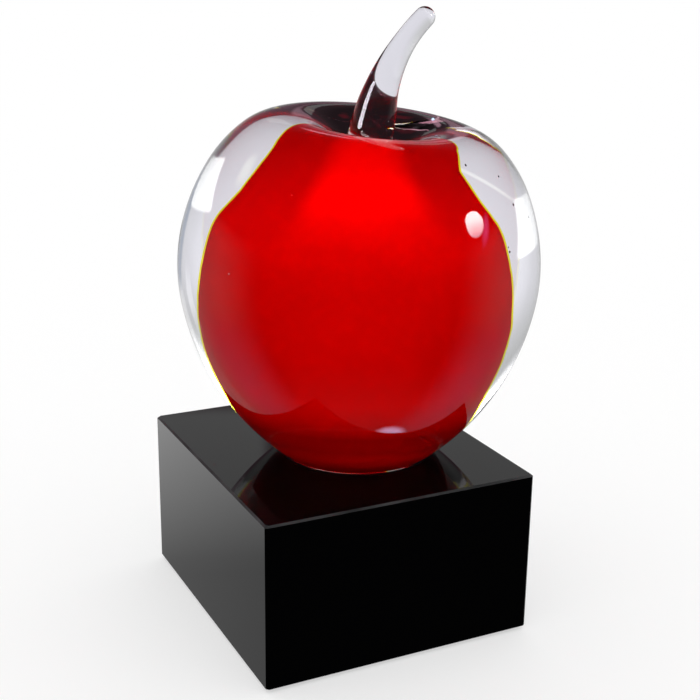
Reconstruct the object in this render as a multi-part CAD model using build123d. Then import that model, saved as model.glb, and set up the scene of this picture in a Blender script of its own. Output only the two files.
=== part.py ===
from build123d import *
import math
import os

# Art glass apple on a black glass block. Millimetres, +Z up.
# Origin: centre of the underside of the felt pad, on the surface that the award stands on.
# X runs along the block's front face, and the front face looks to -Y.

# Black base block: cut and polished glass with small bright bevels, hardly any round the bottom
BLOCK_WIDTH = 76.2
BLOCK_DEPTH = 82.6
BLOCK_HEIGHT = 44.5
UPRIGHT_BEVEL = 0.6
TOP_BEVEL = 0.5
BOTTOM_BEVEL = 0.25

# Felt pad glued under the block, set back out of sight
FELT_THICKNESS = 1.0
FELT_MARGIN = 3.2

# Clear adhesive film that joins the apple's ground foot to the block's top
BOND_THICKNESS = 0.3
BOND_MARGIN = 0.6

# Where the apple stands on the block, measured from the block's centre
APPLE_SHIFT_X = 4.5
APPLE_SHIFT_Y = -3.8

# Clear casing. Its girth is a belt of a true ball, so that the crown can lean on it
GIRTH_RADIUS = 47.5
GIRTH_HEIGHT = 51.0
BELT_HALF_ANGLE = 10.0
FOOT_RADIUS = 21.0
FOOT_ARRIS = 0.5

# Crown of the casing, turned about an axis that leans by hand from the ball's centre
CROWN_LEAN_RIGHT = 3.1
CROWN_LEAN_FRONT = 5.6
CROWN_HEIGHT = 38.2
CROWN_RADIUS = 21.8
SHOULDER_SHARES = [(0.873, 0.626), (0.713, 0.885)]
DIMPLE_DEPTH = 7.4
DIMPLE_FLOOR_RADIUS = 7.4

# Red glass core: heavy round bottom, widest a little below the girth, drawn up to a neck
# that ends just under the dimple. Places on its profile are shares of its radius and height
CORE_RADIUS = 27.1
CORE_SHIFT_X = -0.6
FOOT_TO_CORE = 5.0
CORE_TO_DIMPLE = 1.8
CORE_BOTTOM_SHARES = [(0.223, 0.002), (0.682, 0.126), (0.886, 0.321)]
CORE_BELLY_SHARES = [(1.0, 0.530), (0.959, 0.658), (0.899, 0.705)]
CORE_NECK_SHARES = [(0.450, 0.963), (0.317, 0.996), (0.150, 1.0)]

# Clear stem: a tapered rod, straight at first and then curling over to one side
STEM_FOOT_RADIUS = 5.8
STEM_SEAT_SHIFT = -1.2
STEM_CURL_DIRECTION = -27.3
STEM_START_TILT = 11.7
STEM_STRAIGHT = 11.3
STEM_BEND_RADIUS = 45.5
STEM_BEND_ANGLE = 31.5
STEM_RADIUS_SHARES = [(0.15, 0.975), (0.30, 0.895), (0.45, 0.745), (0.60, 0.625), (0.80, 0.50), (1.0, 0.455)]

BLOCK_BOTTOM_Z = FELT_THICKNESS
BLOCK_TOP_Z = BLOCK_BOTTOM_Z + BLOCK_HEIGHT
FOOT_Z = BLOCK_TOP_Z + BOND_THICKNESS
GIRTH_Z = FOOT_Z + GIRTH_HEIGHT
DIMPLE_FLOOR_HEIGHT = CROWN_HEIGHT - DIMPLE_DEPTH
CORE_HEIGHT = GIRTH_HEIGHT + DIMPLE_FLOOR_HEIGHT - CORE_TO_DIMPLE - FOOT_TO_CORE
CROWN_FRAME = Location(
    (APPLE_SHIFT_X, APPLE_SHIFT_Y, GIRTH_Z),
    (CROWN_LEAN_FRONT, CROWN_LEAN_RIGHT, 0),
)


def polar(radius, degrees):
    """Point at that distance and angle from the centre of a profile."""
    angle = math.radians(degrees)
    return Vector(radius * math.cos(angle), radius * math.sin(angle))


def belt_tangent(degrees):
    """Direction of the ball's profile, going up, at that angle above the girth."""
    return polar(1, degrees + 90)


def tangent_arcs(points, direction):
    """Arcs from point to point, each leaving in the direction in which the last one arrived."""
    arcs = []
    for start, end in zip(points, points[1:]):
        arcs.append(TangentArc(start, end, tangent=direction))
        direction = arcs[-1] % 1
    return arcs


def turned(profile):
    """Turn a closed profile, drawn on the XZ plane, once about the Z axis."""
    return revolve(make_face(Plane.XZ * Wire(profile)), Axis.Z)


def base_block():
    """Rectangular block with bevelled uprights, a finer bevel round the top and a trace of one below."""
    block = Box(BLOCK_WIDTH, BLOCK_DEPTH, BLOCK_HEIGHT)
    block = chamfer(block.edges().filter_by(Axis.Z), UPRIGHT_BEVEL)
    block = chamfer(block.faces().sort_by(Axis.Z)[-1].edges(), TOP_BEVEL)
    block = chamfer(block.faces().sort_by(Axis.Z)[0].edges(), BOTTOM_BEVEL)
    return Pos(0, 0, BLOCK_BOTTOM_Z + BLOCK_HEIGHT / 2) * block


def felt_pad():
    """Thin sheet, a margin smaller than the block all round."""
    sheet = Box(BLOCK_WIDTH - 2 * FELT_MARGIN, BLOCK_DEPTH - 2 * FELT_MARGIN, FELT_THICKNESS)
    return Pos(0, 0, FELT_THICKNESS / 2) * sheet


def bond_disc():
    """Film of clear adhesive under the apple's ground foot."""
    film = Cylinder(FOOT_RADIUS - FOOT_ARRIS - BOND_MARGIN, BOND_THICKNESS)
    return Pos(APPLE_SHIFT_X, APPLE_SHIFT_Y, BLOCK_TOP_Z + BOND_THICKNESS / 2) * film


def lower_casing():
    """Ball belt and one long flank arc down to the ground foot, about the upright axis."""
    girth = Vector(GIRTH_RADIUS, 0)
    belt_end = polar(GIRTH_RADIUS, -BELT_HALF_ANGLE)
    belt = CenterArc((0, 0), GIRTH_RADIUS, 0, -BELT_HALF_ANGLE)
    flank_end = Vector(FOOT_RADIUS, FOOT_ARRIS - GIRTH_HEIGHT)
    flank = tangent_arcs([belt_end, flank_end], -belt_tangent(-BELT_HALF_ANGLE))
    foot = Polyline(flank_end, (FOOT_RADIUS - FOOT_ARRIS, -GIRTH_HEIGHT), (0, -GIRTH_HEIGHT), (0, 0), girth)
    return turned([belt] + flank + list(foot.edges()))


def upper_casing():
    """Ball belt, full shoulder, crown and dimple wall in one run of arcs, about the leaning axis."""
    belt_end = polar(GIRTH_RADIUS, BELT_HALF_ANGLE)
    belt_start = polar(GIRTH_RADIUS, -BELT_HALF_ANGLE)
    belt = CenterArc((0, 0), GIRTH_RADIUS, -BELT_HALF_ANGLE, 2 * BELT_HALF_ANGLE)
    shoulder = [Vector(GIRTH_RADIUS * out, CROWN_HEIGHT * up) for out, up in SHOULDER_SHARES]
    crown = Vector(CROWN_RADIUS, CROWN_HEIGHT)
    floor_edge = Vector(DIMPLE_FLOOR_RADIUS, DIMPLE_FLOOR_HEIGHT)
    curve = tangent_arcs([belt_end] + shoulder + [crown, floor_edge], belt_tangent(BELT_HALF_ANGLE))
    middle = Polyline(floor_edge, (0, floor_edge.Y), (0, belt_start.Y), belt_start)
    return CROWN_FRAME * turned([belt] + curve + list(middle.edges()))


def casing_form():
    """The apple's outside: both halves meet on the level circle through the ball's centre."""
    upper = split(upper_casing(), bisect_by=Plane.XY.offset(GIRTH_Z), keep=Keep.TOP)
    lower = Pos(APPLE_SHIFT_X, APPLE_SHIFT_Y, GIRTH_Z) * lower_casing()
    return lower + upper


def red_core():
    """Core turned about an upright axis from a run of tangent arcs that ends in a small flat top."""
    shares = CORE_BOTTOM_SHARES + CORE_BELLY_SHARES + CORE_NECK_SHARES
    bottom = Vector(0, 0)
    points = [bottom] + [Vector(CORE_RADIUS * out, CORE_HEIGHT * up) for out, up in shares]
    closing = Polyline(points[-1], (0, CORE_HEIGHT), bottom)
    core = turned(tangent_arcs(points, (1, 0)) + list(closing.edges()))
    return Pos(APPLE_SHIFT_X + CORE_SHIFT_X, APPLE_SHIFT_Y, FOOT_Z + FOOT_TO_CORE) * core


def stem_station(length):
    """Frame square to the stem's centreline, that far along from its foot: a straight run, then one arc."""
    straight = min(length, STEM_STRAIGHT)
    start = math.radians(STEM_START_TILT)
    tilt = start + (length - straight) / STEM_BEND_RADIUS
    out = straight * math.sin(start) + STEM_BEND_RADIUS * (math.cos(start) - math.cos(tilt))
    up = straight * math.cos(start) + STEM_BEND_RADIUS * (math.sin(tilt) - math.sin(start))
    return Pos(out, 0, up) * Rot(0, math.degrees(tilt), 0)


def stem():
    """Lofted through round sections along the centreline, from the dimple's floor to a round tip."""
    curl = Rot(0, 0, STEM_CURL_DIRECTION)
    seat = CROWN_FRAME * Pos(0, 0, DIMPLE_FLOOR_HEIGHT) * curl * Pos(STEM_SEAT_SHIFT, 0, 0)
    length = STEM_STRAIGHT + STEM_BEND_RADIUS * math.radians(STEM_BEND_ANGLE)
    stations = [Pos(seat.position) * curl * stem_station(place * length) for place, _ in STEM_RADIUS_SHARES]
    radii = [STEM_FOOT_RADIUS * radius_share for _, radius_share in STEM_RADIUS_SHARES]
    sections = [seat * Circle(STEM_FOOT_RADIUS)]
    sections += [station * Circle(radius) for station, radius in zip(stations, radii)]
    tip = stations[-1] * Sphere(radii[-1], arc_size1=0)
    return loft(sections) + tip


core = red_core()
casing = casing_form() - core

os.makedirs("parts", exist_ok=True)
nodes = {
    "glass_casing": casing,
    "red_core": core,
    "stem": stem(),
    "bond_disc": bond_disc(),
    "base_block": base_block(),
    "felt_pad": felt_pad(),
}
for name, solid in nodes.items():
    export_step(solid, "parts/" + name + ".step")
    print(name, round(solid.volume, 1), solid.bounding_box())
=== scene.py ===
# %% [markdown]
# # Art glass apple on a black glass block
#
# The object is hot-worked glass: a red core cased in thick clear glass, with a clear stem fused into
# its dimple, glued to a cut black block. Nearly all of its look is light bent by the clear casing, so
# this lesson spends its effort on true surfaces and plain shaders, and lets the path tracer do the rest.

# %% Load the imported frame
from functools import partial
import math
import bpy
import numpy as np
from mathutils import Matrix, Vector


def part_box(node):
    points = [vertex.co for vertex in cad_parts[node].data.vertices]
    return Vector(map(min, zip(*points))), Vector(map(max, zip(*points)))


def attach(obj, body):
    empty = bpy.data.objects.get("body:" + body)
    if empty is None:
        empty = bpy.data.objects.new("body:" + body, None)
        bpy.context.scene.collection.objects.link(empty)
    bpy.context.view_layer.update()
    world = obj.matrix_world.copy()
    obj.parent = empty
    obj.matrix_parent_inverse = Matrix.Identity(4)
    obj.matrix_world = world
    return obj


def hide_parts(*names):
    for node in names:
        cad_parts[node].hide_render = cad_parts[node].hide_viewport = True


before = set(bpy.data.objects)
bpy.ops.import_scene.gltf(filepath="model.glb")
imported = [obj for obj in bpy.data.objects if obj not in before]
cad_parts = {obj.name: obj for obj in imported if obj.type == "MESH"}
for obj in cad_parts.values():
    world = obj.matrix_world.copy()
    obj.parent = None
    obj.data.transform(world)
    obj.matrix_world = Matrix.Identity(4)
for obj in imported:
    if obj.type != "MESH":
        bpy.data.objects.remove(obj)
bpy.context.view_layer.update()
MM = 0.001
print("CAD nodes:", sorted(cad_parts))

# %% [markdown]
# ## Where the glass is
#
# The pieces below are worked out in millimetres and in the frame of the CAD model. Their places come
# from the boxes of the CAD nodes, so the looks follow the construction. The girth of the casing is a
# true ball, which is why its centre is easy to find: it is the middle of the casing's box, one ball
# radius in from each side.

# %% Places taken from the CAD nodes
GIRTH_HEIGHT = 51.0


def cad_corners(node):
    """Low and high corner of a CAD node's box, in millimetres."""
    return [np.array(corner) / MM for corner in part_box(node)]


low, high = cad_corners("glass_casing")
ball_radius = (high[0] - low[0]) / 2
ball_centre = np.array([(low[0] + high[0]) / 2, (low[1] + high[1]) / 2, low[2] + GIRTH_HEIGHT])
print("ball radius", round(ball_radius, 2), "centre", ball_centre.round(2))

# %% [markdown]
# ## A profile made of tangent arcs
#
# A glassworker shapes a profile with blocks and paddles that each leave an arc, and every arc runs
# smoothly into the next. So the profile is a list of points, and each arc leaves its point in the
# direction in which the last one arrived. The points could also be joined by a spline, but arcs keep
# the ball belt exactly round.

# %% Arc helper
NEARLY_STRAIGHT = 1e-9


def tangent_arcs(points, direction, steps):
    """Points on a run of tangent arcs, with a count of steps for each arc.

    For a chord d and a unit direction t with left normal n, the arc turns through
    2 atan2(d.n, d.t) and has the curvature k = 2 (d.n) / (d.d). Its points are
    start + t sin(a) / k + n (1 - cos(a)) / k, for a from 0 to the full turn.
    """
    runs = [np.array([points[0]], float)]
    t = np.array(direction, float) / np.hypot(*direction)
    for start, end, count in zip(points, points[1:], steps):
        d = np.subtract(end, start)
        n = np.array([-t[1], t[0]])
        turn = 2 * math.atan2(d @ n, d @ t)
        k = 2 * (d @ n) / (d @ d)
        a = np.linspace(0, turn, count + 1)[1:, None]
        bent = abs(k) > NEARLY_STRAIGHT
        runs.append(start + (t * np.sin(a) / k + n * (1 - np.cos(a)) / k if bent else d * a / turn))
        t = t * math.cos(turn) + n * math.sin(turn)
    return np.vstack(runs)

# %% [markdown]
# ## A surface from rings
#
# Every glass piece here is a stack of closed rings, one array of shape (rings, places round, 3), with
# a pole at each end. The faces between two rings are quads, and a fan closes each pole, so the mesh
# is watertight, which a refracting surface must be: light that enters has to find its way out. Spin
# or Screw could turn the profile too, but the crown leans, and arrays lean ring by ring at no cost.

# %% Ring helpers
def ring_piece(name, rings, bottom, top, shade_angle=35):
    """Closed mesh from rings, from the bottom pole to the top pole, each counter-clockwise from above.

    Place j of ring i is vertex i * around + j. A quad joins (i, j), (i, j + 1), (i + 1, j + 1), (i + 1, j).
    """
    count, around = rings.shape[:2]
    places = np.vstack([rings.reshape(-1, 3), [bottom], [top]]) * MM
    i, j = np.meshgrid(np.arange(count - 1), np.arange(around), indexing="ij")
    k = (j + 1) % around
    quads = np.stack([i * around + j, i * around + k, (i + 1) * around + k, (i + 1) * around + j], -1)
    j, k = np.arange(around), (np.arange(around) + 1) % around
    last = (count - 1) * around
    lower_fan = np.stack([k, j, np.full(around, count * around)], -1)
    upper_fan = np.stack([last + j, last + k, np.full(around, count * around + 1)], -1)
    faces = quads.reshape(-1, 4).tolist() + lower_fan.tolist() + upper_fan.tolist()
    mesh = bpy.data.meshes.new(name)
    mesh.from_pydata(places.tolist(), [], faces)
    mesh.polygons.foreach_set("use_smooth", np.ones(len(faces), bool))
    mesh.set_sharp_from_angle(angle=math.radians(shade_angle))
    mesh.update()
    piece = bpy.data.objects.new(name, mesh)
    bpy.context.scene.collection.objects.link(piece)
    print(name, count, "rings,", len(faces), "faces")
    return piece


def circle(around):
    """Unit circle as (cos, sin) of evenly spaced angles."""
    a = np.linspace(0, 2 * np.pi, around, endpoint=False)
    return np.stack([np.cos(a), np.sin(a)], -1)


def turned_rings(profile, around, centre):
    """Rings of a profile of (radius, height) about an upright axis through centre."""
    out = profile[:, None, :1] * circle(around)[None]
    up = np.broadcast_to(profile[:, None, 1:], (len(profile), around, 1))
    return np.concatenate([out, up], -1) + centre


def tilted(points, front, right, centre):
    """Rings turned about the Y axis by right, then about the X axis by front, and moved to centre.

    Both turns are in degrees, one for each ring.
    """
    f, r = np.radians(front), np.radians(right)
    x, y, z = points[..., 0], points[..., 1], points[..., 2]
    x, z = x * np.cos(r) + z * np.sin(r), -x * np.sin(r) + z * np.cos(r)
    y, z = y * np.cos(f) - z * np.sin(f), y * np.sin(f) + z * np.cos(f)
    return np.stack([x, y, z], -1) + centre

# %% [markdown]
# ## The clear casing
#
# On the real piece the casing is gathered over the red core and blocked into an apple, and its crown
# sits a little off the upright, by hand. Rings low down are level and rings high up lean with the
# crown. Between them lies the ball belt: there the lean grows ring by ring, and because each ring
# only turns about the ball's centre, it never leaves the ball. The red core is not cut out of this
# mesh. It simply stands inside, because a clear surface against the red would add a false gap.

# %% Casing profile
CROWN_RADIUS, CROWN_HEIGHT = 21.8, 38.2
DIMPLE_FLOOR_RADIUS, DIMPLE_DEPTH = 7.4, 7.4
SHOULDER_SHARES = [(0.873, 0.626), (0.713, 0.885)]
FOOT_RADIUS, FOOT_ARRIS = 21.0, 0.5
BELT_HALF_ANGLE = 10
FLANK_STEPS, BELT_STEPS, CROWN_STEPS = [44], 20, [18, 20, 30, 34]

belt = math.radians(BELT_HALF_ANGLE)
belt_low = (ball_radius * math.cos(belt), -ball_radius * math.sin(belt))
belt_high = (belt_low[0], -belt_low[1])
floor_edge = (DIMPLE_FLOOR_RADIUS, CROWN_HEIGHT - DIMPLE_DEPTH)
foot = [(FOOT_RADIUS - FOOT_ARRIS, -GIRTH_HEIGHT), (FOOT_RADIUS, FOOT_ARRIS - GIRTH_HEIGHT)]
shoulder = [(ball_radius * out, CROWN_HEIGHT * up) for out, up in SHOULDER_SHARES]
crown = [belt_high] + shoulder + [(CROWN_RADIUS, CROWN_HEIGHT), floor_edge]

flank = tangent_arcs([belt_low, foot[1]], (-math.sin(belt), -math.cos(belt)), FLANK_STEPS)
belt_angles = np.linspace(-belt, belt, BELT_STEPS + 1)[1:-1]
belt_arc = ball_radius * np.stack([np.cos(belt_angles), np.sin(belt_angles)], -1)
upper = tangent_arcs(crown, (-math.sin(belt), math.cos(belt)), CROWN_STEPS)
profile = np.vstack([foot[:1], flank[::-1], belt_arc, upper])
print("profile points:", len(profile))

# %% [markdown]
# ## Where the stem is fused on
#
# The stem is pressed hot on the dimple's floor, and the two become one glass: no surface is left
# between them. Two closed meshes can show that if they share one ring exactly and the small discs
# inside the ring are left clear of any effect (alpha 0). Joining the meshes would be simpler, but the
# stem is a piece of its own and should stay one. So the casing's last rings run in over the dimple's
# floor to the stem's seat, and the whole crown is then leaned.

# %% Casing rings, in to the stem's seat
AROUND = 256
CROWN_LEAN_FRONT, CROWN_LEAN_RIGHT = 5.6, 3.1
STEM_CURL = math.radians(-27.3)
STEM_FOOT_RADIUS, SEAT_FILLET, SEAT_SHIFT = 5.8, 0.35, -1.2
FLOOR_STEPS = 5

unit = circle(AROUND)
curl_way = np.array([math.cos(STEM_CURL), math.sin(STEM_CURL)])


def floor_ring(radius, shift):
    """Circle of that radius on the dimple's floor, moved by shift in the floor's own plane."""
    return np.concatenate([radius * unit + shift, np.full((AROUND, 1), floor_edge[1])], -1)


blend = np.linspace(0, 1, FLOOR_STEPS + 1)[1:, None, None]
rim, seat = floor_ring(floor_edge[0], 0), floor_ring(STEM_FOOT_RADIUS + SEAT_FILLET, SEAT_SHIFT * curl_way)
floor_rings = rim * (1 - blend) + seat * blend
rings = np.concatenate([turned_rings(profile, AROUND, 0), floor_rings])
belt_share = np.clip((profile[:, 1] / belt_high[1] + 1) / 2, 0, 1)
lean_share = belt_share ** 2 * (3 - 2 * belt_share)
lean = np.concatenate([lean_share, np.ones(len(floor_rings))])[:, None]
rings = tilted(rings, CROWN_LEAN_FRONT * lean, CROWN_LEAN_RIGHT * lean, ball_centre)
seat_ring = rings[-1]
seat_centre = seat_ring.mean(0)
casing = ring_piece("clear_casing", rings, ball_centre - (0, 0, GIRTH_HEIGHT), seat_centre)
print("stem's seat at", seat_centre.round(2))

# %% [markdown]
# ## The red core
#
# The core is a gather of red glass, marvered to a blunt cone and cased while hot. Seen through the
# casing it looks nearly twice as wide as it is. It is a plain turned form, upright, a little left of
# the casing's middle.

# %% Core rings
CORE_RADIUS = 27.1
CORE_SHARES = [
    (0, 0), (0.223, 0.002), (0.682, 0.126), (0.886, 0.321), (1.0, 0.530),
    (0.959, 0.658), (0.899, 0.705), (0.450, 0.963), (0.317, 0.996), (0.150, 1.0),
]
CORE_STEPS = [8, 26, 20, 24, 14, 8, 30, 12, 6]
CORE_AROUND = 192

core_low, core_high = cad_corners("red_core")
core_height = core_high[2] - core_low[2]
core_centre = np.array([(core_low[0] + core_high[0]) / 2, (core_low[1] + core_high[1]) / 2, core_low[2]])
core_points = [(CORE_RADIUS * out, core_height * up) for out, up in CORE_SHARES]
core_profile = tangent_arcs(core_points, (1, 0), CORE_STEPS)
core = ring_piece(
    "red_glass_core", turned_rings(core_profile[1:], CORE_AROUND, core_centre),
    core_centre, core_centre + (0, 0, core_height),
)

# %% [markdown]
# ## The stem's line
#
# A bit of clear glass is drawn out of the hot dimple and bent with the tweezers while it is soft, so
# it tapers, bends one way and ends in a round drop. A curve object with a bevel could carry a round
# section along a line, but its ends would not fit the seat. Here each ring is set square to a
# centreline that is straight at first and then a plain arc.

# %% Stem sections
STRAIGHT, BEND_RADIUS, BEND_ANGLE, START_TILT = 11.3, 45.5, math.radians(31.5), math.radians(11.7)
stem_length = STRAIGHT + BEND_RADIUS * BEND_ANGLE


def stem_section(length, radius, advance=0.0):
    """Ring of that radius at that length along the centreline, moved on by advance along the tangent.

    The tangent leans by START_TILT up to the end of the straight run, and from there by the length
    over the bend's radius more. Along the arc, out and up are the integrals of its sine and cosine.
    """
    straight = np.minimum(length, STRAIGHT)
    tilt = START_TILT + (length - straight) / BEND_RADIUS
    out = straight * math.sin(START_TILT) + BEND_RADIUS * (math.cos(START_TILT) - np.cos(tilt))
    up = straight * math.cos(START_TILT) + BEND_RADIUS * (np.sin(tilt) - math.sin(START_TILT))
    out, up, tilt, radius, advance = (np.atleast_1d(v)[:, None] for v in (out, up, tilt, radius, advance))
    across, side = radius * unit[:, 0], radius * unit[:, 1]
    u = out + across * np.cos(tilt) + advance * np.sin(tilt)
    w = up - across * np.sin(tilt) + advance * np.cos(tilt)
    x, y = u * curl_way[0] - side * curl_way[1], u * curl_way[1] + side * curl_way[0]
    return np.stack([x, y, w], -1) + seat_centre


print("stem is", round(stem_length, 1), "mm long")

# %% [markdown]
# ## The stem
#
# The lowest ring is the casing's seat ring itself. Over the first few millimetres the section eases
# from that ring to a circle square to the centreline, which leaves a fine fillet at the joint, as
# pressed glass has.

# %% Stem rings
TAPER = np.array([
    (0, 1), (0.15, 0.975), (0.30, 0.895), (0.45, 0.745), (0.60, 0.625), (0.80, 0.50), (1.0, 0.455),
])
STEM_RINGS, TIP_STEPS, SEAT_EASE = 100, 16, 3.2


def smooth_through(x, y, at):
    """Piecewise cubic through (x, y) with slopes from the neighbours (Catmull-Rom), evaluated at at."""
    slope = np.gradient(y, x)
    i = np.clip(np.searchsorted(x, at, side="right") - 1, 0, len(x) - 2)
    h = x[i + 1] - x[i]
    t = (at - x[i]) / h
    a, b, c, d = 2 * t**3 - 3 * t**2 + 1, t**3 - 2 * t**2 + t, 3 * t**2 - 2 * t**3, t**3 - t**2
    return a * y[i] + b * h * slope[i] + c * y[i + 1] + d * h * slope[i + 1]


lengths = np.linspace(0, stem_length, STEM_RINGS)
radii = STEM_FOOT_RADIUS * smooth_through(TAPER[:, 0], TAPER[:, 1], lengths / stem_length)

# The seat ring's places are counted on so that it starts on the side to which the stem curls
turn = math.atan2(seat_ring[0, 1] - seat_centre[1], seat_ring[0, 0] - seat_centre[0])
start_place = int(round((math.degrees(turn) - math.degrees(STEM_CURL)) / 360 * AROUND)) % AROUND
foot_ring = np.roll(seat_ring, start_place, axis=0)
grow = np.array([*(math.sin(START_TILT) * curl_way), math.cos(START_TILT)])
ease = (1 - (1 - np.clip(lengths / SEAT_EASE, 0, 1)) ** 2)[:, None, None]
body = (foot_ring + grow * lengths[:, None, None]) * (1 - ease) + stem_section(lengths, radii) * ease

tip_angles = np.radians(np.linspace(0, 90, TIP_STEPS + 1))[1:-1]
tip_lengths = np.full(len(tip_angles), stem_length)
tip = stem_section(tip_lengths, radii[-1] * np.cos(tip_angles), radii[-1] * np.sin(tip_angles))
stem_top = stem_section(stem_length, 0.0, radii[-1])[0, 0]
stem = ring_piece("clear_stem", np.concatenate([body, tip]), seat_centre, stem_top)
print("stem top at", stem_top.round(2))

# %% [markdown]
# ## The amber line round the red
#
# Along both flanks the red ends in a fine yellow line. A camera-facing rim effect would slide as the
# camera moves, so it is a real veil here: a tinted skin just outside the core. Against the red its
# tint is lost, and past the red's edge it shows as the line.

# %% Amber veil
VEIL_GAP, VEIL_POLE_RADIUS, VEIL_AROUND = 0.27, 0.4, 160

tangents = np.gradient(core_profile, axis=0)
outward = np.stack([tangents[:, 1], -tangents[:, 0]], -1) / np.linalg.norm(tangents, axis=1, keepdims=True)
veil_profile = core_profile + VEIL_GAP * outward
veil_profile[:, 0] = np.maximum(veil_profile[:, 0], VEIL_POLE_RADIUS)
veil = ring_piece(
    "amber_veil", turned_rings(veil_profile[1:], VEIL_AROUND, core_centre),
    core_centre - (0, 0, VEIL_GAP), core_centre + (0, 0, core_height + VEIL_GAP),
)

# %% [markdown]
# ## Seeds, flecks and a bubble
#
# One bubble under the rim of the dimple has a painted highlight: it glows pale blue. The dark specks
# in the clear right-hand wall are flecks of the red that were carried out with the casing. Hot glass
# also keeps small air bubbles, called seeds, and a few of them lie round the other sides. Each is a
# little drawn-out ball, and one mesh holds them all. Places are in millimetres, and the fourth
# number is the radius.

# %% Seeds in the clear glass
GLOWING_BUBBLE = [(25.8, -3.5, 133.7, 0.45)]
RED_FLECKS = [
    (16.4, -33.6, 125.4, 0.24), (26.0, -32.1, 122.0, 0.22), (28.6, -34.6, 115.8, 0.26),
    (24.7, -40.3, 106.2, 0.24), (34.9, -34.9, 112.9, 0.22), (23.9, -42.4, 107.9, 0.16),
]
AIR_SEEDS = [
    (-24.5, -27.0, 121.0, 0.12), (-31.0, -12.0, 100.0, 0.16), (34.0, 18.0, 104.0, 0.18),
    (-8.0, 33.0, 112.0, 0.14), (12.0, 34.0, 84.0, 0.16), (41.0, -18.0, 92.0, 0.12), (-20.0, 22.0, 76.0, 0.15),
]
SEED_AROUND, SEED_RINGS, SEED_STRETCH = 20, 11, 1.35


def seed_ball(number, centre, radius):
    """Ball drawn out upwards: height -stretch r cos(a), radius r sin(a), for a from 0 to 180 degrees."""
    a = np.linspace(0, np.pi, SEED_RINGS + 2)[1:-1]
    outline = np.stack([radius * np.sin(a), -SEED_STRETCH * radius * np.cos(a)], -1)
    reach = np.array([0, 0, SEED_STRETCH * radius])
    return ring_piece(
        f"seed_{number}", turned_rings(outline, SEED_AROUND, centre), centre - reach, centre + reach,
        shade_angle=180,
    )


SEEDS = GLOWING_BUBBLE + RED_FLECKS + AIR_SEEDS
seed_pieces = [seed_ball(number, np.array(place), radius) for number, (*place, radius) in enumerate(SEEDS)]
with bpy.context.temp_override(active_object=seed_pieces[0], selected_editable_objects=seed_pieces):
    bpy.ops.object.join()
seeds = seed_pieces[0]
seeds.name = seeds.data.name = "seeds"

# %% [markdown]
# ## The block
#
# The block is sawn from a slab of black glass, ground flat and polished. The lap leaves a narrow flat
# bevel on each edge: 0.6 mm on the uprights, 0.5 mm round the top and a trace round the bottom. A cube
# with a Bevel modifier would give one width everywhere, so the rings are set one by one: eight corners
# each, two at every upright edge.

# %% Block rings
UPRIGHT_BEVEL, TOP_BEVEL, BOTTOM_BEVEL = 0.6, 0.5, 0.25
CORNERS = 8
block_low, block_high = cad_corners("base_block")
block_half = (block_high - block_low)[:2] / 2


def cut_corner_ring(inset, height):
    """Eight corners of the block's rectangle drawn in by inset, its own corners cut off at 45 degrees."""
    w, h = block_half - inset
    cut = UPRIGHT_BEVEL
    return [
        (w, -h + cut, height), (w, h - cut, height), (w - cut, h, height), (-w + cut, h, height),
        (-w, h - cut, height), (-w, -h + cut, height), (-w + cut, -h, height), (w - cut, -h, height),
    ]


block_rings = np.array([
    cut_corner_ring(BOTTOM_BEVEL, block_low[2]), cut_corner_ring(0, block_low[2] + BOTTOM_BEVEL),
    cut_corner_ring(0, block_high[2] - TOP_BEVEL), cut_corner_ring(TOP_BEVEL, block_high[2]),
])
block = ring_piece(
    "polished_block", block_rings, (0, 0, block_low[2]), (0, 0, block_high[2]), shade_angle=20,
)

# %% [markdown]
# ## The felt pad
#
# A die-cut sheet of wool felt is glued under the block, a few millimetres in from its edges. It is a
# rounded rectangle with a soft, slightly swollen edge where the cut fibres open. Its rings are listed
# as an inset in millimetres and a share of its thickness.

# %% Felt rings
FELT_CORNER, FELT_AROUND = 1.5, 160
FELT_STEPS = [(6.0, 0), (0.35, 0), (0.1, 0.12), (0, 0.4), (0, 0.65), (0.12, 0.9), (0.4, 1.0), (6.0, 1.0)]
felt_low, felt_high = cad_corners("felt_pad")
felt_half = (felt_high - felt_low)[:2] / 2


def rounded_rectangle(half, corner, inset, around):
    """Rounded rectangle, half its size across and along, drawn in by inset.

    Its point at angle a is where |x / w|^n + |y / h|^n = 1, with n set by the corner.
    """
    a = np.linspace(0, 2 * np.pi, around, endpoint=False)
    w, h = half - inset
    n = math.log(0.5) / math.log(1 - corner / max(w, h))
    scale = (np.abs(np.cos(a)) ** n + np.abs(np.sin(a)) ** n) ** (-1 / n)
    return np.stack([w * scale * np.cos(a), h * scale * np.sin(a)], -1)


felt_rings = np.stack([
    np.concatenate([
        rounded_rectangle(felt_half, FELT_CORNER, inset, FELT_AROUND),
        np.full((FELT_AROUND, 1), share * felt_high[2]),
    ], -1)
    for inset, share in FELT_STEPS
])
felt = ring_piece("felt_sheet", felt_rings, (0, 0, 0), (0, 0, felt_high[2]), shade_angle=60)

# %% [markdown]
# ## A node group for uneven surfaces
#
# Most of the finishes need the same thing: a value that wanders softly over the surface. A node
# group holds it once. It reads Object coordinates, so the pattern stays on the glass however the
# camera moves. Noise seldom leaves the middle of its range, so that middle is stretched to Low..High.

# %% Group: wander
NOISE_DETAIL, NOISE_MIDDLE = 3.0, (0.32, 0.68)


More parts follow.
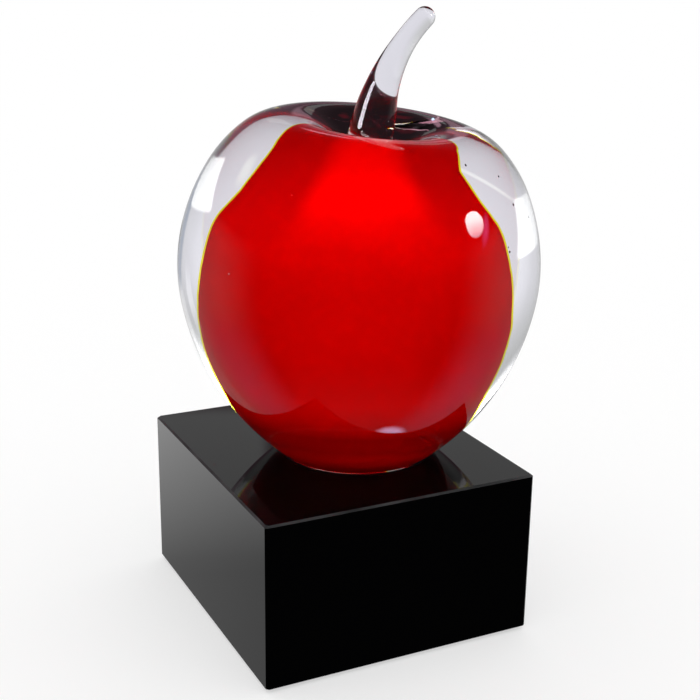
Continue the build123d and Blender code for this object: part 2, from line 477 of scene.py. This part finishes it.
def wander_group():
    """Noise in Object coordinates, mapped from its middle range to Low..High."""
    group = bpy.data.node_groups.new("wander", "ShaderNodeTree")
    for name, default in (("Per metre", 100.0), ("Low", 0.0), ("High", 1.0)):
        socket = group.interface.new_socket(name, in_out="INPUT", socket_type="NodeSocketFloat")
        socket.default_value = default
    group.interface.new_socket("Value", in_out="OUTPUT", socket_type="NodeSocketFloat")
    nodes, links = group.nodes, group.links
    source, result = nodes.new("NodeGroupInput"), nodes.new("NodeGroupOutput")
    place, noise = nodes.new("ShaderNodeTexCoord"), nodes.new("ShaderNodeTexNoise")
    fit = nodes.new("ShaderNodeMapRange")
    noise.inputs["Detail"].default_value = NOISE_DETAIL
    fit.inputs["From Min"].default_value, fit.inputs["From Max"].default_value = NOISE_MIDDLE
    links.new(place.outputs["Object"], noise.inputs["Vector"])
    links.new(source.outputs["Per metre"], noise.inputs["Scale"])
    links.new(noise.outputs["Fac"], fit.inputs["Value"])
    links.new(source.outputs["Low"], fit.inputs["To Min"])
    links.new(source.outputs["High"], fit.inputs["To Max"])
    links.new(fit.outputs["Result"], result.inputs["Value"])
    return group


wander = wander_group()
print("wander group:", len(wander.nodes), "nodes")

# %% [markdown]
# ## Helpers for the finishes
#
# Every finish is one Principled shader with plain numbers on its sockets, and the patterned ones get
# a few nodes in front. Wiring nodes by hand is long-winded in a script, so each helper, here and in
# later cells, adds one node, fills its inputs and gives its output.

# %% Finish helpers
def plain_finish(name, **plain):
    """Material with one Principled shader, its plain numbers set on the shader's own sockets."""
    material = bpy.data.materials.new(name)
    material.use_nodes = True
    for socket, value in plain.items():
        material.node_tree.nodes["Principled BSDF"].inputs[socket.replace("_", " ")].default_value = value
    return material


def patterned_finish(name, **plain):
    """Plain finish with its nodes, links and shader, ready for a pattern."""
    material = plain_finish(name, **plain)
    nodes = material.node_tree.nodes
    return material, nodes, material.node_tree.links, nodes["Principled BSDF"]


def wandering(nodes, per_metre, low, high):
    """Value of the wander group, with its numbers."""
    node = nodes.new("ShaderNodeGroup")
    node.node_tree = wander
    for socket, value in (("Per metre", per_metre), ("Low", low), ("High", high)):
        node.inputs[socket].default_value = value
    return node.outputs["Value"]


def bumped(nodes, links, height, shader, distance):
    """A Bump node from a height value to the shader's Normal."""
    bump = nodes.new("ShaderNodeBump")
    bump.inputs["Distance"].default_value = distance
    links.new(height, bump.inputs["Height"])
    links.new(bump.outputs["Normal"], shader.inputs["Normal"])


print("finish helpers ready, for plain and for patterned finishes")

# %% [markdown]
# ## Clear glass
#
# Fire-polished crystal: perfectly smooth, a faint cool tint, and the slow waviness that blocking
# leaves. Transmission with an index of 1.5 on a closed mesh does the rest. The joint discs under the
# stem use alpha 0: there the two glasses are one, and light passes straight on. The film of adhesive
# under the foot is clear too, with nearly the same index.

# %% Clear glass, its joint and the adhesive
GLASS_INDEX, ADHESIVE_INDEX = 1.5, 1.49
COOL_CLEAR, WARM_CLEAR = (0.955, 0.965, 0.985, 1), (0.96, 0.96, 0.94, 1)
clear, nodes, links, shader = patterned_finish(
    "clear_crystal", Base_Color=COOL_CLEAR, Roughness=0.0, Transmission_Weight=1.0, IOR=GLASS_INDEX)
bumped(nodes, links, wandering(nodes, 45.0, 0.0, 1.0), shader, 0.03 * MM)
joint = plain_finish("fused_joint", Base_Color=(1, 1, 1, 1), Alpha=0.0, IOR=GLASS_INDEX)
adhesive = plain_finish(
    "foot_adhesive", Base_Color=WARM_CLEAR, Roughness=0.02, Transmission_Weight=1.0, IOR=ADHESIVE_INDEX)
print("clear finishes:", clear.name, joint.name, adhesive.name)

# %% [markdown]
# ## The bonded foot
#
# From inside, the foot's disc shows the dark joint with the block, with streaks of painted reflection
# of the red here and there. Hardly any light reaches it in a render, so it glows faintly with that
# colour, as painted light.

# %% Bonded foot
def colour_mix(nodes, links, factor, under, over, blend="MIX"):
    """Mix node from colour under to colour over, each three numbers or an output."""
    mix = nodes.new("ShaderNodeMix")
    mix.data_type, mix.blend_type = "RGBA", blend
    links.new(factor, mix.inputs["Factor"])
    for socket, colour in (("A", under), ("B", over)):
        if isinstance(colour, tuple):
            mix.inputs[socket].default_value = (*colour, 1)
        else:
            links.new(colour, mix.inputs[socket])
    return mix.outputs["Result"]


# Painted light: the disc glows, and its red streaks are a painted reflection of the red.
bonded, nodes, links, shader = patterned_finish(
    "bonded_foot", Roughness=1.0, Specular_IOR_Level=0.0, Emission_Strength=1.0)
joint_glow_and_red_reflection = colour_mix(
    nodes, links, wandering(nodes, 170.0, -1.4, 1.0), (0.014, 0.008, 0.010), (0.075, 0.008, 0.013))
links.new(joint_glow_and_red_reflection, shader.inputs["Base Color"])
links.new(joint_glow_and_red_reflection, shader.inputs["Emission Color"])
print("foot finish:", bonded.name)

# %% [markdown]
# ## Air, flecks and the glowing bubble
#
# An air seed is the casing's glass turned inside out: its index is 1 over 1.5. The flecks are the red
# in traces, so dark that they look nearly black. The bubble is too small to gather the lamp's light
# in a render without noise, so its highlight is painted: it glows pale blue.

# %% Finishes inside the clear
AIR_IN_GLASS = 0.667
air = plain_finish(
    "seed_air", Base_Color=(1, 1, 1, 1), Roughness=0.0, Transmission_Weight=1.0, IOR=AIR_IN_GLASS)
# Painted highlight: the bubble glows pale blue.
painted_bubble_glint = plain_finish(
    "bubble_painted_glint", Base_Color=(0.55, 0.68, 0.95, 1), Roughness=1.0, Specular_IOR_Level=0.0,
    Emission_Color=(0.50, 0.66, 1.0, 1), Emission_Strength=0.5)
fleck, nodes, links, shader = patterned_finish("red_fleck", Roughness=1.0, Specular_IOR_Level=0.0)
fleck_tone = colour_mix(
    nodes, links, wandering(nodes, 400.0, 0.0, 1.0), (0.020, 0.001, 0.002), (0.070, 0.003, 0.008))
links.new(fleck_tone, shader.inputs["Base Color"])
print("finishes inside the clear:", air.name, painted_bubble_glint.name, fleck.name)

# %% [markdown]
# ## Red glass
#
# The red is dense enough to look solid, so it needs no depth: a matt red body, because the clear
# around it has the same index and no reflection forms between them. Its colour changes with height,
# as painted light and shade: bright at the very foot, darkest just above it, and bright again
# towards the neck.

# %% Red by height
# Tones by height are painted light and shade.
RED_LIT_AND_SHADED_BY_HEIGHT = [
    (0.0, (0.95, 0.0, 0.002)), (0.04, (0.80, 0.0, 0.002)), (0.08, (0.38, 0.0, 0.001)),
    (0.14, (0.28, 0.0, 0.001)), (0.20, (0.52, 0.0, 0.001)), (0.27, (0.64, 0.0, 0.002)),
    (0.60, (0.54, 0.0, 0.001)), (0.72, (0.54, 0.0, 0.001)), (0.79, (0.68, 0.0, 0.002)),
    (0.86, (0.98, 0.0, 0.003)),
]


def fitted(nodes, links, value, start, end, curve="LINEAR"):
    """Map Range node: 0 where the value is start, 1 where it is end."""
    fit = nodes.new("ShaderNodeMapRange")
    fit.interpolation_type = curve
    fit.inputs["From Min"].default_value, fit.inputs["From Max"].default_value = start, end
    links.new(value, fit.inputs["Value"])
    return fit.outputs["Result"]


def colour_ramp(nodes, links, value, stops):
    """Colours over a value from 0 to 1, from (place, colour) stops in rising order."""
    ramp = nodes.new("ShaderNodeValToRGB")
    links.new(value, ramp.inputs["Fac"])
    elements = ramp.color_ramp.elements
    while len(elements) < len(stops):
        elements.new(0.5)
    for element, (share, colour) in zip(elements, stops):
        element.position, element.color = share, (*colour, 1)
    return ramp.outputs["Color"]


red, nodes, links, shader = patterned_finish("cased_red", Roughness=1.0, Specular_IOR_Level=0.0)
place, parts = nodes.new("ShaderNodeTexCoord"), nodes.new("ShaderNodeSeparateXYZ")
links.new(place.outputs["Object"], parts.inputs["Vector"])
up_core = fitted(nodes, links, parts.outputs["Z"], core_low[2] * MM, core_high[2] * MM)
red_tone = colour_ramp(nodes, links, up_core, RED_LIT_AND_SHADED_BY_HEIGHT)
print("red has", len(RED_LIT_AND_SHADED_BY_HEIGHT), "tones by height")

# %% [markdown]
# ## The shaded neck
#
# The neck is painted darker on both sides of one lighter band, which faces the front and widens
# downwards: painted shade beside a painted lit band. How far a place lies off the band is the dot
# product of two level directions: its own, seen from the core's axis, and the band's. That is a
# cosine, 1 on the band itself.

# %% Neck beside the front band
FRONT_BAND = math.radians(201.0)
BAND_EDGE, BAND_GONE = 0.99, 0.73
WIDER_BY_HEIGHT, WIDER_AT_FOOT = -0.95, 0.885
NECK_START, NECK_FULL = 0.60, 0.80
SHADED_NECK_RED = (0.50, 0.0, 0.010)


def filled(nodes, links, kind, operation, values):
    """Node of that kind and operation, its inputs filled in turn with numbers or outputs."""
    node = nodes.new(kind)
    node.operation = operation
    for socket, value in zip(node.inputs, values):
        if isinstance(value, bpy.types.NodeSocket):
            links.new(value, socket)
        else:
            socket.default_value = value
    return node


def maths(nodes, links, operation, *values):
    """Math node on numbers or outputs."""
    return filled(nodes, links, "ShaderNodeMath", operation, values).outputs["Value"]


def vector_maths(nodes, links, operation, *values, output="Vector"):
    """Vector Math node on vectors or outputs."""
    return filled(nodes, links, "ShaderNodeVectorMath", operation, values).outputs[output]


off_axis = vector_maths(nodes, links, "SUBTRACT", place.outputs["Object"], core_centre * MM)
level_off = vector_maths(nodes, links, "MULTIPLY", off_axis, (1, 1, 0))
round_axis = vector_maths(nodes, links, "NORMALIZE", level_off)
band_way = (math.sin(FRONT_BAND), math.cos(FRONT_BAND), 0)
beside_band = vector_maths(nodes, links, "DOT_PRODUCT", round_axis, band_way, output="Value")
wider_below = maths(nodes, links, "MULTIPLY_ADD", up_core, WIDER_BY_HEIGHT, WIDER_AT_FOOT)
spread = maths(nodes, links, "ADD", beside_band, wider_below)
off_band = fitted(nodes, links, spread, BAND_EDGE, BAND_GONE, "SMOOTHSTEP")
up_neck = fitted(nodes, links, up_core, NECK_START, NECK_FULL, "SMOOTHSTEP")
# Painted shade: darker red on both sides of the lit front band.
painted_neck_shade = maths(nodes, links, "MULTIPLY", off_band, up_neck)
red_tone = colour_mix(nodes, links, painted_neck_shade, red_tone, SHADED_NECK_RED)
print("band faces azimuth", round(math.degrees(FRONT_BAND)))

# %% [markdown]
# ## Folds, and the mirrored underside
#
# The colour wanders a little, as the gather was folded. The block's top mirrors the apple's underside
# nearly black, because the underside stands in shade, so the low red is painted darker for a ray that
# has been mirrored once: painted shade in the reflection. Light Path's Glossy Depth counts the mirrors
# on a ray's way.

# %% Folds and underside
FOLD_TINT, MIRRORED_SHADE_TINT = (0.86, 0.86, 0.9), (0.2, 0.2, 0.2)
UNDERSIDE_TOP, UNDERSIDE_FULL = 0.34, 0.24

red_tone = colour_mix(nodes, links, wandering(nodes, 38.0, 0.0, 1.0), red_tone, FOLD_TINT, "MULTIPLY")
# Painted shade in the block's reflection of the underside.
underside = fitted(nodes, links, up_core, UNDERSIDE_TOP, UNDERSIDE_FULL)
rays = nodes.new("ShaderNodeLightPath")
painted_mirrored_shade = maths(nodes, links, "MULTIPLY", rays.outputs["Glossy Depth"], underside)
red_tone = colour_mix(nodes, links, painted_mirrored_shade, red_tone, MIRRORED_SHADE_TINT, "MULTIPLY")
links.new(red_tone, shader.inputs["Base Color"])
print("red finish:", red.name, "with", len(nodes), "nodes")

# %% [markdown]
# ## Amber trace
#
# The veil must tint without bending: an index of 1 lets each ray pass straight through it, a little
# yellower every time.

# %% Amber finish
amber = plain_finish(
    "amber_trace", Base_Color=(1.0, 0.88, 0.03, 1), Roughness=0.0, Transmission_Weight=1.0, IOR=1.0)
print("veil finish:", amber.name)

# %% [markdown]
# ## Black glass
#
# The block is cut, ground and polished. Polished black glass is a mirror of very low strength: the
# colour is nearly nothing, and all that shows is the room, strongest at a glancing angle. A trace of
# polishing haze and of waviness keeps it from looking like a hole. The bevel round the top is worn
# by cloths and shelves, so it is paler and half matt.

# %% Black block
black, nodes, links, shader = patterned_finish(
    "polished_black", Base_Color=(0.0012, 0.0012, 0.0014, 1), IOR=GLASS_INDEX)
links.new(wandering(nodes, 60.0, 0.012, 0.035), shader.inputs["Roughness"])
bumped(nodes, links, wandering(nodes, 25.0, 0.0, 1.0), shader, 0.004 * MM)

rubbed, nodes, links, shader = patterned_finish("rubbed_bevel", Roughness=0.3, IOR=GLASS_INDEX)
rub = colour_mix(
    nodes, links, wandering(nodes, 90.0, 0.0, 1.0), (0.020, 0.020, 0.021), (0.060, 0.060, 0.062))
links.new(rub, shader.inputs["Base Color"])
print("block finishes:", black.name, rubbed.name)

# %% [markdown]
# ## Felt
#
# Wool felt is matt and a little uneven, with a soft bloom of loose fibres at its cut edge. Sheen is
# the socket for that bloom, and one fine noise gives both the fibres' tone and their height.

# %% Black felt
felt_black, nodes, links, shader = patterned_finish(
    "felt_nap", Roughness=0.95, Sheen_Weight=0.4, Sheen_Roughness=0.6)
fibres = wandering(nodes, 2200.0, 0.0, 1.0)
nap = colour_mix(nodes, links, fibres, (0.010, 0.010, 0.011), (0.030, 0.030, 0.032))
links.new(nap, shader.inputs["Base Color"])
bumped(nodes, links, fibres, shader, 0.2 * MM)
print("felt finish:", felt_black.name)

# %% [markdown]
# ## Finishes onto pieces
#
# A mesh can carry several finishes, one number per face. On the casing the pole fan of the foot is
# the bonded spot, which from inside shows only the black block behind it, and the fan of the seat is
# the joint. On the block the eight faces of the top bevel are the rubbed ones.

# %% Assign the finishes
def dress(piece, *materials):
    """Give a piece its finishes: the first covers it."""
    piece.data.materials.clear()
    for material in materials:
        piece.data.materials.append(material)


def number_faces(piece, numbers):
    """Give each face of a piece the number of its finish."""
    piece.data.polygons.foreach_set("material_index", np.array(numbers, np.int32))


def fan_numbers(piece, lower=0, upper=0):
    """Finish numbers for the two pole fans, which are the last 2 * AROUND faces."""
    numbers = np.zeros(len(piece.data.polygons))
    numbers[-2 * AROUND:-AROUND] = lower
    numbers[-AROUND:] = upper
    return numbers


dress(casing, clear, bonded, joint)
number_faces(casing, fan_numbers(casing, lower=1, upper=2))
dress(stem, clear, joint)
number_faces(stem, fan_numbers(stem, lower=1))
dress(core, red)
dress(veil, amber)
dress(seeds, air, fleck, painted_bubble_glint)
seed_kinds = [2] * len(GLOWING_BUBBLE) + [1] * len(RED_FLECKS) + [0] * len(AIR_SEEDS)
number_faces(seeds, np.repeat(seed_kinds, len(seeds.data.polygons) // len(SEEDS)))
dress(felt, felt_black)
dress(block, black, rubbed)
block_numbers = np.zeros(len(block.data.polygons))
block_numbers[2 * CORNERS:3 * CORNERS] = 1
number_faces(block, block_numbers)
dress(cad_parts["bond_disc"], adhesive)
for piece in (casing, stem, core, veil, seeds, felt, block):
    print(piece.name, "wears", [material.name for material in piece.data.materials])

# %% [markdown]
# ## What stands for which CAD node
#
# Each new piece rides on a body, and the CAD nodes that the pieces stand for are hidden. The apple has
# one body, so all ride on the root. The veil and the seeds stand for no node: they lie in the clear
# beside the core. The film of adhesive keeps its CAD node, which is shown as it is.

# %% Ride, and hide the CAD nodes
for piece in (casing, core, stem, veil, seeds, block, felt):
    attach(piece, "root")
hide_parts("glass_casing")
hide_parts("red_core")
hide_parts("stem")
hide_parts("base_block")
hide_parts("felt_pad")
print("pieces for CAD nodes: 5, beside them:", veil.name, seeds.name)

# %% [markdown]
# ## The floor
#
# A plain white sweep. It only has to be pale and to catch a soft shadow, so half of its white is its
# own light and half is what falls on it. Mirrored, bent and scattered rays pass it by: they see the
# studio below, where the floor's tone is drawn by direction.

# %% Floor
FLOOR_REACH = 3


def white_floor():
    """A square at height 0, with its sides FLOOR_REACH metres from the middle."""
    r = FLOOR_REACH
    mesh = bpy.data.meshes.new("floor")
    mesh.from_pydata([(-r, -r, 0), (r, -r, 0), (r, r, 0), (-r, r, 0)], [], [(0, 1, 2, 3)])
    sheet = bpy.data.objects.new("floor", mesh)
    bpy.context.scene.collection.objects.link(sheet)
    return sheet


floor = white_floor()
dress(floor, plain_finish(
    "white_floor", Base_Color=(0.5, 0.5, 0.5, 1), Roughness=1.0, Specular_IOR_Level=0.0,
    Emission_Color=(1, 1, 1, 1), Emission_Strength=0.5))
floor.visible_glossy = floor.visible_transmission = floor.visible_diffuse = False
print("floor is", round(floor.dimensions.x, 1), "m wide and only stage")

# %% [markdown]
# ## The studio
#
# Glass shows the room, so the room is drawn with care, as tones by direction in the world shader:
# white for the camera, and a studio with soft boxes for reflected and transmitted rays. A soft box, a
# window or a card is one patch of the room, and a node group draws any of them.

# %% Group: soft box
SOFT_BOX_SOCKETS = (
    "Azimuth", "Elevation", "Middle azimuth", "Middle elevation", "Half width", "Half height",
    "Slant", "Squareness", "Softness",
)


def soft_box_group():
    """Patch of the room: 1 inside, 0 outside, for a direction given in degrees.

    With a = azimuth and e = elevation off the middle, and a pushed over by Slant per degree of e, the
    patch is where (|a / w|^n + |e / h|^n)^(1/n) is under 1. n = 2 gives an oval, n = 8 nearly a box.
    """
    group = bpy.data.node_groups.new("soft box", "ShaderNodeTree")
    for name in SOFT_BOX_SOCKETS:
        group.interface.new_socket(name, in_out="INPUT", socket_type="NodeSocketFloat")
    group.interface.new_socket("Value", in_out="OUTPUT", socket_type="NodeSocketFloat")
    nodes, links = group.nodes, group.links
    source, result = nodes.new("NodeGroupInput").outputs, nodes.new("NodeGroupOutput")
    calc = partial(maths, nodes, links)
    off_up = calc("SUBTRACT", source["Elevation"], source["Middle elevation"])
    off_round = calc("WRAP", calc("SUBTRACT", source["Azimuth"], source["Middle azimuth"]), 180.0, -180.0)
    off_round = calc("MULTIPLY_ADD", off_up, source["Slant"], off_round)
    powers = [
        calc("POWER", calc("ABSOLUTE", calc("DIVIDE", off, source[half])), source["Squareness"])
        for off, half in ((off_round, "Half width"), (off_up, "Half height"))
    ]
    reach = calc("POWER", calc("ADD", *powers), calc("DIVIDE", 1.0, source["Squareness"]))
    fit = nodes.new("ShaderNodeMapRange")
    fit.interpolation_type = "SMOOTHSTEP"
    links.new(reach, fit.inputs["Value"])
    links.new(calc("ADD", 1.0, source["Softness"]), fit.inputs["From Min"])
    links.new(calc("SUBTRACT", 1.0, source["Softness"]), fit.inputs["From Max"])
    links.new(fit.outputs["Result"], result.inputs["Value"])
    return group


soft_box = soft_box_group()
print("soft box group:", len(soft_box.nodes), "nodes")

# %% [markdown]
# ## The room, by direction
#
# The room is a set of tones laid over each other: first by elevation, then soft boxes and cards as
# patches. A direction is an azimuth, clockwise from +Y, and an elevation, both in degrees. The camera
# looks towards azimuth 26, so 26 lies behind the apple, 206 on the camera's side, 116 at the right
# and -64 at the left. Each direction was found by following rays from a place in the picture, so a
# patch can be moved where the photograph wants it.

# %% Studio world
world = bpy.data.worlds.new("studio")
bpy.context.scene.world = world
world.use_nodes = True
nodes, links = world.node_tree.nodes, world.node_tree.links

direction, parts = nodes.new("ShaderNodeTexCoord"), nodes.new("ShaderNodeSeparateXYZ")
links.new(direction.outputs["Generated"], parts.inputs["Vector"])
calc = partial(maths, nodes, links)
room_azimuth = calc("DEGREES", calc("ARCTAN2", parts.outputs["X"], parts.outputs["Y"]))
room_elevation = calc("DEGREES", calc("ARCSINE", parts.outputs["Z"]))
room_height = calc("MULTIPLY_ADD", room_elevation, 1 / 180, 0.5)


def tones_by_height(stops):
    """Ramp whose 0 to 1 stand for elevations from -90 to 90, from (elevation, colour) stops."""
    return colour_ramp(nodes, links, room_height, [(height / 180 + 0.5, colour) for height, colour in stops])


def patch(middle, half, slant=0.0, squareness=8.0, softness=0.1):
    """Soft box node at that place of the room; gives its mask."""
    node = nodes.new("ShaderNodeGroup")
    node.node_tree = soft_box
    links.new(room_azimuth, node.inputs["Azimuth"])
    links.new(room_elevation, node.inputs["Elevation"])
    for socket, value in zip(SOFT_BOX_SOCKETS[2:], (*middle, *half, slant, squareness, softness)):
        node.inputs[socket].default_value = value
    return node.outputs["Value"]


def laid_over(under, over, mask):
    """Colour over laid on colour under where the mask is 1."""
    return colour_mix(nodes, links, mask, under, over)


def hung(room, cards):
    """The room with cards laid over it in turn: (colour, middle, half size, slant, squareness, softness)."""
    for colour, *place in cards:
        room = laid_over(room, colour, patch(*place))
    return room


def grey(value, tint=(1, 1, 1)):
    """Colour of that value and tint."""
    return tuple(value * part for part in tint)


BEHIND_APPLE, FULL_HEIGHT = 26, 400
behind = patch((BEHIND_APPLE, 0), (100, FULL_HEIGHT), softness=0.2)
straight_behind = patch((BEHIND_APPLE, 0), (60, FULL_HEIGHT), softness=0.25)
print("world drawn round azimuth", BEHIND_APPLE)

# %% [markdown]
# ## The room that is seen through the glass
#
# This one is pale behind the apple and dark under the camera. Two windows stand low at the sides, and
# a key light hangs high over the camera. The cards beside the camera light the red's sides, and are
# kept well away from it, because a light there would flare in the clear rims.

# %% Tones for rays that pass through
LAVENDER = (0.985, 0.965, 1.03)
through_back = tones_by_height([
    (-90, grey(0.30, LAVENDER)), (-75, grey(0.42, LAVENDER)), (-55, grey(0.66, LAVENDER)),
    (-40, grey(0.76, LAVENDER)), (-25, grey(0.83, LAVENDER)), (-5, grey(0.80, LAVENDER)),
    (12, grey(0.60)), (40, grey(0.40)), (60, grey(0.60)), (72, grey(3.0)), (90, grey(6.0)),
])
through_front = tones_by_height([
    (-90, grey(0.28)), (-60, grey(0.40)), (-25, grey(0.78)), (-5, grey(1.25)), (8, grey(1.10)),
    (26, grey(0.45)), (60, grey(0.60)), (72, grey(3.0)), (90, grey(6.0)),
])
through = hung(laid_over(through_front, through_back, behind), [
    # Blue card at the right, plum card under it, and a rose one behind
    ((0.24, 0.30, 0.44), (103, -16), (9, 18), 0.0, 6.0, 0.25),
    ((0.15, 0.09, 0.12), (103, -52), (12, 16), 0.0, 6.0, 0.25),
    ((0.60, 0.26, 0.34), (47, 12), (14, 10), 0.0, 4.0, 0.4),
    # Thin pale strips low behind the apple, left and right
    (grey(1.02), (-12.3, -30.7), (2.0, 4.6), 3.0, 3.0, 0.8),
    (grey(0.92), (60, -33.5), (2.4, 4.0), 0.0, 3.0, 0.6),
    # Dark cloth under the camera
    (grey(0.15), (206, -26), (34, 44), 0.0, 3.0, 0.5),
    # Soft boxes at both sides of the camera, and bounce cards low beside them
    (grey(3.0), (161, 5), (17, 18), 0.0, 3.0, 0.4),
    (grey(3.0), (251, 5), (17, 18), 0.0, 3.0, 0.4),
    (grey(2.0), (152, -32), (24, 17), 0.0, 3.0, 0.4),
    (grey(2.0), (260, -32), (24, 17), 0.0, 3.0, 0.4),
    # Key light high over the camera
    (grey(14.0), (203, 55), (19, 27), 0.0, 3.0, 0.4),
    # Windows low at the right and at the left
    (grey(1.5), (88.0, -30.3), (13.0, 8.0), 0.6, 12.0, 0.08),
    (grey(1.5), (-36.0, -19.5), (14.5, 7.5), -0.5, 12.0, 0.08),
])
print("room through the glass:", len(nodes), "nodes so far")

# %% [markdown]
# ## The room that is mirrored
#
# This one is nearly dark, because a light anywhere in it draws a highlight somewhere on the glass. It
# holds the pale tones that the block's sides and top mirror, and one main light at the right.

# %% Tones for rays that are mirrored
mirrored_front = tones_by_height([(-90, grey(0.10)), (-45, grey(0.004)), (90, grey(0.004))])
mirrored_sides = tones_by_height([
    (-90, grey(0.15)), (-45, (0.36, 0.20, 0.33)), (-30, (0.30, 0.19, 0.27)), (-20, grey(0.30)),
    (-8, grey(0.35)), (6, grey(0.25)), (14, grey(0.02)), (90, grey(0.003)),
])
mirrored_back = tones_by_height([
    (-90, grey(0.15)), (-40, grey(0.22)), (-24, grey(0.34)), (-14, grey(0.50)), (-3, grey(0.58)),
    (5, grey(0.34)), (10, (0.24, 0.14, 0.18)), (20, (0.11, 0.06, 0.08)), (30, (0.06, 0.04, 0.045)),
    (40, grey(0.01)), (60, grey(0.003)),
])
beside_block = tones_by_height([(-34, grey(0.29)), (-27, grey(0.34)), (-19, grey(1.28)), (-12, grey(1.1))])
light_foot = patch((127, 11.5), (14.0, 6.0), 0.0, 2.0, 0.8)
main_light = laid_over(grey(19.0), grey(6.0, (1.0, 1.0, 1.2)), light_foot)
mirrored = laid_over(laid_over(mirrored_front, mirrored_sides, behind), mirrored_back, straight_behind)
mirrored = hung(mirrored, [
    # Paler wall that the block's left side mirrors
    (beside_block, (-20, -30), (4.8, 18), 0.0, 8.0, 0.2),
    # Two pale cards above the horizon behind, a mauve one lower right of the middle, a rose one higher
    (grey(0.38), (18.5, 23.2), (4.0, 3.0), 0.0, 8.0, 0.12),
    (grey(0.38), (33.0, 23.2), (4.0, 3.0), 0.0, 8.0, 0.12),
    ((0.55, 0.32, 0.40), (31.5, 15.5), (4.0, 3.3), 0.0, 3.0, 0.25),
    ((1.2, 0.65, 0.85), (26.5, 26.5), (2.4, 2.6), 0.0, 3.0, 0.4),
    # Pale strip low behind, left of the middle
    (grey(0.85), (3, -20), (9.0, 4.5), 0.0, 4.0, 0.4),
    # Violet tail beside the main light, and a violet light far below for the low highlight
    (grey(1.4, (1.0, 0.4, 1.3)), (117.0, 14.0), (2.8, 4.5), 0.8, 2.0, 0.7),
    ((3.4, 3.3, 5.2), (116, -75.7), (14, 4.5), 3.2, 2.0, 0.6),
    # Main light at the right, weaker and cooler at its foot
    (main_light, (124.3, 19.4), (7.6, 6.3), 0.05, 2.1, 0.08),
])
print("mirrored room:", len(nodes), "nodes so far")

# %% [markdown]
# ## Which ray sees which room
#
# Light Path tells the world what kind of ray has reached it. The camera itself sees plain white.

# %% Rooms by kind of ray
WHITE = (1.0, 1.0, 1.0)
rays = nodes.new("ShaderNodeLightPath")
tone = laid_over(WHITE, mirrored, rays.outputs["Is Glossy Ray"])
tone = laid_over(tone, through, rays.outputs["Is Transmission Ray"])
tone = laid_over(tone, WHITE, rays.outputs["Is Camera Ray"])
links.new(tone, nodes["Background"].inputs["Color"])
print("studio world:", len(nodes), "nodes")

# %% [markdown]
# ## A strip light for the stem
#
# The stem carries one long highlight down its left side, and the apple under it carries none from
# there. A photographer gets that with a small lamp close to the stem and a card that keeps it off the
# rest. Light linking does the card's work: the lamp reaches one collection, which holds the stem.

# %% Lamp for the stem
LAMP_DIRECTION, LAMP_DISTANCE = (-84, 18), 0.4
LAMP_WIDTH, LAMP_HEIGHT, LAMP_POWER, LAMP_TINT = 0.17, 0.13, 1.2, (0.94, 0.91, 1.0)


def towards(azimuth, elevation):
    """Unit vector for an azimuth, clockwise from +Y, and an elevation, in degrees."""
    a, e = math.radians(azimuth), math.radians(elevation)
    return Vector((math.cos(e) * math.sin(a), math.cos(e) * math.cos(a), math.sin(e)))


lamp_data = bpy.data.lights.new("stem_lamp", "AREA")
lamp_data.shape, lamp_data.size, lamp_data.size_y = "RECTANGLE", LAMP_WIDTH, LAMP_HEIGHT
lamp_data.energy, lamp_data.color = LAMP_POWER, LAMP_TINT
lamp = bpy.data.objects.new("stem_lamp", lamp_data)
bpy.context.scene.collection.objects.link(lamp)
lamp_way = towards(*LAMP_DIRECTION)
lamp.location = Vector(seat_centre * MM) + LAMP_DISTANCE * lamp_way
lamp.rotation_mode = "QUATERNION"
lamp.rotation_quaternion = lamp_way.to_track_quat("Z", "Y")
lit_by_lamp = bpy.data.collections.new("lit_by_stem_lamp")
lit_by_lamp.objects.link(stem)
lamp.light_linking.receiver_collection = lit_by_lamp
print("lamp at", lamp.location)

# %% [markdown]
# ## Camera
#
# The camera was solved from the block's seven visible corners. It looks down 17.6 degrees from the
# left front corner, through a long lens. Its three axes make the columns of its matrix.

# %% Camera
CAMERA_TURN, CAMERA_DIP, CAMERA_ROLL = (math.radians(a) for a in (-26.413, 17.599, 0.784))
CAMERA_PLACE = (-143.474, -297.204, 177.444)
LENS, SENSOR, NEAREST = 65.795, 36.0, 0.02

flat = math.cos(CAMERA_DIP)
back = np.array([math.sin(CAMERA_TURN) * flat, -math.cos(CAMERA_TURN) * flat, math.sin(CAMERA_DIP)])
level = np.array([math.cos(CAMERA_TURN), math.sin(CAMERA_TURN), 0])
rise = np.cross(back, level)
right = math.cos(CAMERA_ROLL) * level + math.sin(CAMERA_ROLL) * rise
up = -math.sin(CAMERA_ROLL) * level + math.cos(CAMERA_ROLL) * rise

camera_data = bpy.data.cameras.new("camera")
camera_data.lens, camera_data.sensor_width, camera_data.clip_start = LENS, SENSOR, NEAREST
camera = bpy.data.objects.new("camera", camera_data)
bpy.context.scene.collection.objects.link(camera)
axes = Matrix(np.stack([right, up, back], -1).tolist()).to_4x4()
camera.matrix_world = Matrix.Translation(Vector(CAMERA_PLACE) * MM) @ axes
bpy.context.scene.camera = camera
bpy.context.scene.view_settings.view_transform = "Standard"
print("camera at", camera.location)
